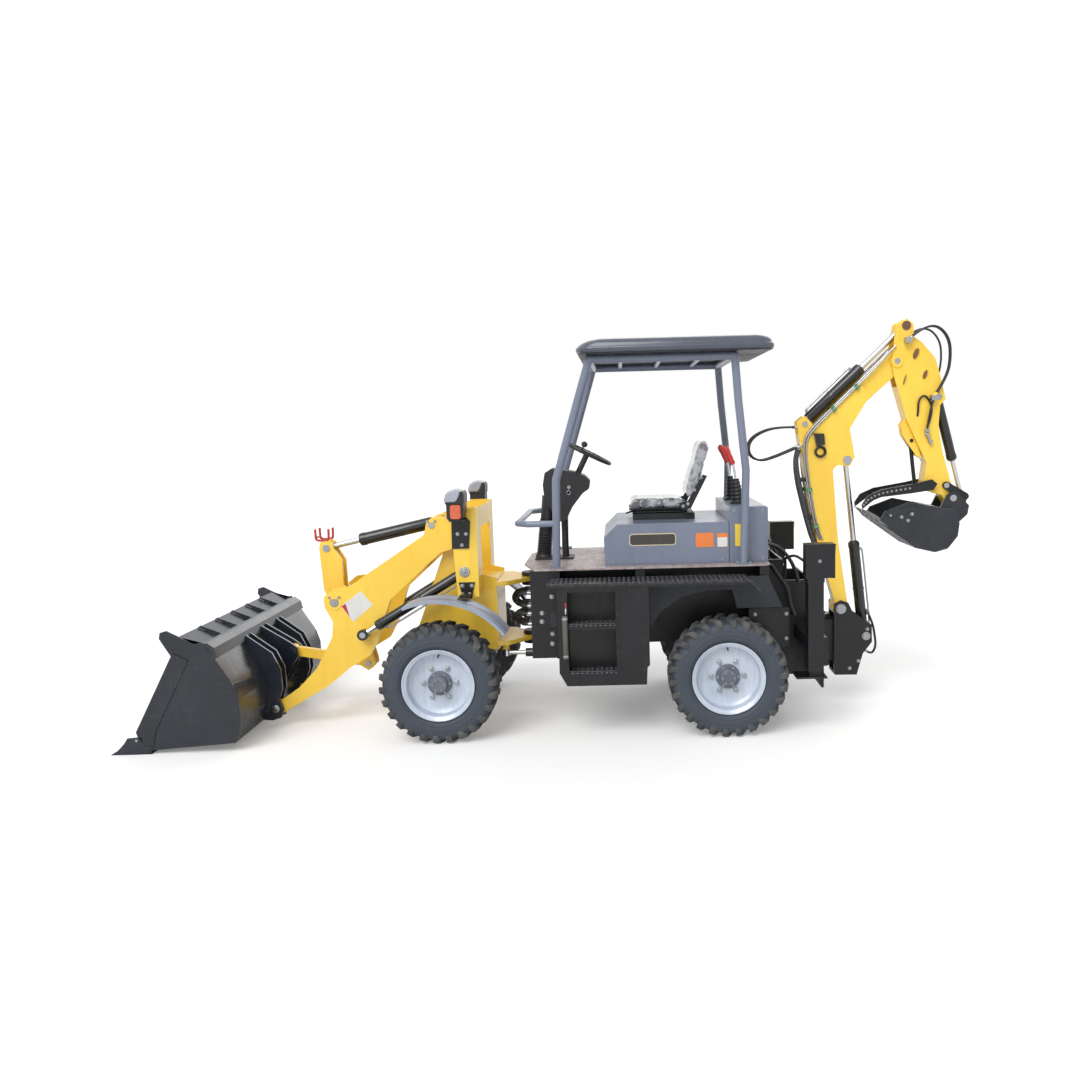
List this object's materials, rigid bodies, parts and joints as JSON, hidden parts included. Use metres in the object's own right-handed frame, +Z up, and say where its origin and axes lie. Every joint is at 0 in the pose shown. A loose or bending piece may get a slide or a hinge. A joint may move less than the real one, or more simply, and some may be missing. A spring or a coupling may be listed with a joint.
{
  "type": "backhoe loader",
  "caption": "Compact articulated backhoe loader with open canopy: wheeled, front bucket on lift arms, rear digging arm with bucket and thumb, two stabilizers",
  "frame": {"origin": "on the ground, at the middle of the bounding box", "axes": "+X forward (the loader bucket's end), +Y to the machine's left, +Z up"},
  "size_m": [5.537, 1.64, 2.5882],
  "materials": {
    "yellow_paint": "warm yellow gloss paint, dusty",
    "black_paint": "black gloss paint with dust and scuffs",
    "grey_paint": "blue-grey semi-gloss paint",
    "roof_plastic": "blue-grey moulded shell",
    "deck_plate": "worn chequered tread plate",
    "tyre_rubber": "dusty rubber with deep chevron lugs",
    "rim_paint": "silver-grey satin paint, dusty",
    "chrome_rod": "hard chrome",
    "black_plastic": "moulded black plastic",
    "black_vinyl": "black vinyl on foam"
  },
  "bodies": {
    "rear_body": {"rear_frame": "black_paint", "rear_axle": "black_paint", "engine_block": "black_paint", "step_boxes": "black_paint", "rear_fenders": "grey_paint", "deck": "deck_plate", "hood": "grey_paint", "rear_console": "grey_paint", "seat_base": "black_paint", "steering_column": "black_plastic", "steering_wheel": "black_plastic", "hoe_levers": "black_plastic", "canopy_frame": "grey_paint", "canopy_roof": "roof_plastic", "hoe_frame": "black_paint", "swing_cylinder_barrel": "black_paint", "hose_bank": "black_plastic"},
    "seat": {"seat_frame": "black_paint", "seat_cushion": "black_vinyl", "seat_back": "black_vinyl"},
    "front_body": {"front_frame": "yellow_paint", "front_axle": "black_paint", "front_fenders": "roof_plastic", "headlamps": "black_plastic"},
    "wheel_front_left": {"tyre_front_left": "tyre_rubber", "rim_front_left": "rim_paint"},
    "wheel_front_right": {"tyre_front_right": "tyre_rubber", "rim_front_right": "rim_paint"},
    "wheel_rear_left": {"tyre_rear_left": "tyre_rubber", "rim_rear_left": "rim_paint"},
    "wheel_rear_right": {"tyre_rear_right": "tyre_rubber", "rim_rear_right": "rim_paint"},
    "steering_barrel": {"steering_cylinder_barrel": "black_paint"},
    "steering_rod": {"steering_cylinder_rod": "chrome_rod"},
    "arm": {"loader_arm": "yellow_paint"},
    "lift_barrels": {"lift_cylinder_barrels": "black_paint"},
    "lift_rods": {"lift_cylinder_rods": "chrome_rod"},
    "front_bucket": {"loader_bucket": "black_paint"},
    "crank": {"bellcrank": "yellow_paint"},
    "front_link": {"bucket_link": "yellow_paint"},
    "tilt_barrel": {"tilt_cylinder_barrel": "black_paint"},
    "tilt_rod": {"tilt_cylinder_rod": "chrome_rod"},
    "leg_left": {"stabilizer_leg_left": "black_paint"},
    "leg_right": {"stabilizer_leg_right": "black_paint"},
    "post": {"swing_post": "black_paint"},
    "swing_rod": {"swing_cylinder_rod": "chrome_rod"},
    "hoe_boom": {"boom": "yellow_paint", "boom_hoses": "black_plastic"},
    "boom_barrel": {"boom_cylinder_barrel": "black_paint"},
    "boom_rod": {"boom_cylinder_rod": "chrome_rod"},
    "hoe_dipper": {"dipper": "yellow_paint", "thumb": "black_paint", "dipper_hoses": "black_plastic"},
    "dipper_barrel": {"dipper_cylinder_barrel": "black_paint"},
    "dipper_rod": {"dipper_cylinder_rod": "chrome_rod"},
    "rear_bucket": {"hoe_bucket": "black_paint"},
    "curl_barrel": {"bucket_cylinder_barrel": "black_paint"},
    "curl_rod": {"bucket_cylinder_rod": "chrome_rod"},
    "rocker": {"bucket_rocker": "black_paint"},
    "rear_link": {"bucket_link_hoe": "black_paint"}
  },
  "joints": [
    {"name": "wheel_front_left_spin", "type": "hinge", "parent": "front_body", "child": "wheel_front_left", "pos_m": [0.731, 0.634, 0.37229], "axis": [0, 1, 0], "continuous": true},
    {"name": "wheel_front_right_spin", "type": "hinge", "parent": "front_body", "child": "wheel_front_right", "pos_m": [0.731, -0.634, 0.37229], "axis": [0, 1, 0], "continuous": true},
    {"name": "wheel_rear_left_spin", "type": "hinge", "parent": "rear_body", "child": "wheel_rear_left", "pos_m": [-1.069, 0.634, 0.37229], "axis": [0, 1, 0], "continuous": true},
    {"name": "wheel_rear_right_spin", "type": "hinge", "parent": "rear_body", "child": "wheel_rear_right", "pos_m": [-1.069, -0.634, 0.37229], "axis": [0, 1, 0], "continuous": true},
    {"name": "articulation", "type": "hinge", "parent": "rear_body", "child": "front_body", "pos_m": [0.201, 0, 0.6], "axis": [0, 0, 1], "range_deg": [-24, 24]},
    {"name": "steering_turn", "type": "hinge", "parent": "rear_body", "child": "steering_barrel", "pos_m": [0.006, 0.2, 0.44], "axis": [0, 0, 1], "range_deg": [-12, 12]},
    {"name": "steering_stroke", "type": "slide", "parent": "steering_barrel", "child": "steering_rod", "axis": [0.9985, -0.0547, 0], "range_m": [-0.0795, 0.0795]},
    {"name": "seat_swivel", "type": "hinge", "parent": "rear_body", "child": "seat", "pos_m": [-0.744, 0, 1.38], "axis": [0, 0, 1], "range_deg": [0, 180]},
    {"name": "loader_lift", "type": "hinge", "parent": "front_body", "child": "arm", "pos_m": [0.601, 0, 1.263], "axis": [0, -1, 0], "range_deg": [0, 65]},
    {"name": "lift_turn", "type": "hinge", "parent": "front_body", "child": "lift_barrels", "pos_m": [0.591, 0, 1.03], "axis": [0, -1, 0], "range_deg": [-1, 66]},
    {"name": "lift_stroke", "type": "slide", "parent": "lift_barrels", "child": "lift_rods", "axis": [0.8624, 0, -0.5063], "range_m": [-0.005, 0.256]},
    {"name": "loader_tilt", "type": "hinge", "parent": "arm", "child": "front_bucket", "pos_m": [1.903, 0, 0.13], "axis": [0, 1, 0], "range_deg": [-40, 38]},
    {"name": "crank_turn", "type": "hinge", "parent": "arm", "child": "crank", "pos_m": [1.476, 0, 0.832], "axis": [0, -1, 0], "range_deg": [-27, 26]},
    {"name": "front_link_turn", "type": "hinge", "parent": "crank", "child": "front_link", "pos_m": [1.343, 0, 0.356], "axis": [0, 1, 0], "range_deg": [-18, 17]},
    {"name": "tilt_turn", "type": "hinge", "parent": "arm", "child": "tilt_barrel", "pos_m": [0.811, 0, 1.328], "axis": [0, -1, 0], "range_deg": [-3, 3]},
    {"name": "tilt_stroke", "type": "slide", "parent": "tilt_barrel", "child": "tilt_rod", "axis": [0.9784, 0, -0.2066], "range_m": [-0.153, 0.161]},
    {"name": "stabilizer_left", "type": "slide", "parent": "rear_body", "child": "leg_left", "axis": [0, 0, -1], "range_m": [0, 0.35]},
    {"name": "stabilizer_right", "type": "slide", "parent": "rear_body", "child": "leg_right", "axis": [0, 0, -1], "range_m": [0, 0.35]},
    {"name": "swing", "type": "hinge", "parent": "rear_body", "child": "post", "pos_m": [-1.789, 0, 0.45], "axis": [0, 0, 1], "range_deg": [-50, 50]},
    {"name": "swing_stroke", "type": "slide", "parent": "rear_body", "child": "swing_rod", "axis": [-1, 0, 0], "range_m": [-0.105, 0.105]},
    {"name": "boom_lower", "type": "hinge", "parent": "post", "child": "hoe_boom", "pos_m": [-1.909, 0, 0.664], "axis": [0, -1, 0], "range_deg": [0, 85]},
    {"name": "boom_turn", "type": "hinge", "parent": "post", "child": "boom_barrel", "pos_m": [-2.081, 0, 0.472], "axis": [0, -1, 0], "range_deg": [-1, 80]},
    {"name": "boom_stroke", "type": "slide", "parent": "boom_barrel", "child": "boom_rod", "axis": [0.1061, 0, 0.9944], "range_m": [-0.304, 0.005]},
    {"name": "dipper_out", "type": "hinge", "parent": "hoe_boom", "child": "hoe_dipper", "pos_m": [-2.28, 0, 2.315], "axis": [0, 1, 0], "range_deg": [0, 85]},
    {"name": "dipper_turn", "type": "hinge", "parent": "hoe_boom", "child": "dipper_barrel", "pos_m": [-1.671, 0, 1.919], "axis": [0, 1, 0], "range_deg": [-1, 11]},
    {"name": "dipper_stroke", "type": "slide", "parent": "dipper_barrel", "child": "dipper_rod", "axis": [-0.7286, 0, 0.6849], "range_m": [-0.286, 0.005]},
    {"name": "hoe_bucket_open", "type": "hinge", "parent": "hoe_dipper", "child": "rear_bucket", "pos_m": [-2.652, 0, 1.402], "axis": [0, 1, 0], "range_deg": [0, 120]},
    {"name": "curl_turn", "type": "hinge", "parent": "hoe_dipper", "child": "curl_barrel", "pos_m": [-2.564, 0, 2.075], "axis": [0, 1, 0], "range_deg": [-1, 4]},
    {"name": "curl_stroke", "type": "slide", "parent": "curl_barrel", "child": "curl_rod", "axis": [-0.2545, 0, -0.9671], "range_m": [-0.203, 0.003]},
    {"name": "rocker_turn", "type": "hinge", "parent": "hoe_dipper", "child": "rocker", "pos_m": [-2.613, 0, 1.486], "axis": [0, 1, 0], "range_deg": [-1, 88]},
    {"name": "rear_link_turn", "type": "hinge", "parent": "rocker", "child": "rear_link", "pos_m": [-2.739, 0, 1.41], "axis": [0, 1, 0], "range_deg": [-73, 1]}
  ],
  "couplings": [
    {"joint": "steering_turn", "follows": "articulation", "ratio": 0.4436},
    {"joint": "steering_stroke", "follows": "articulation", "m_per_rad": -0.18804},
    {"joint": "lift_turn", "follows": "loader_lift", "ratio": 0.9936},
    {"joint": "lift_stroke", "follows": "loader_lift", "m_per_rad": 0.22374},
    {"joint": "crank_turn", "follows": "loader_tilt", "ratio": 0.658},
    {"joint": "front_link_turn", "follows": "loader_tilt", "ratio": 0.425},
    {"joint": "tilt_turn", "follows": "loader_tilt", "ratio": 0.0329},
    {"joint": "tilt_stroke", "follows": "loader_tilt", "m_per_rad": -0.22746},
    {"joint": "swing_stroke", "follows": "swing", "m_per_rad": -0.1182},
    {"joint": "boom_turn", "follows": "boom_lower", "ratio": 0.9258},
    {"joint": "boom_stroke", "follows": "boom_lower", "m_per_rad": -0.20363},
    {"joint": "dipper_turn", "follows": "dipper_out", "ratio": 0.1201},
    {"joint": "dipper_stroke", "follows": "dipper_out", "m_per_rad": -0.19125},
    {"joint": "curl_turn", "follows": "hoe_bucket_open", "ratio": 0.0238},
    {"joint": "curl_stroke", "follows": "hoe_bucket_open", "m_per_rad": -0.096085},
    {"joint": "rocker_turn", "follows": "hoe_bucket_open", "ratio": 0.726},
    {"joint": "rear_link_turn", "follows": "hoe_bucket_open", "ratio": -0.595}
  ]
}
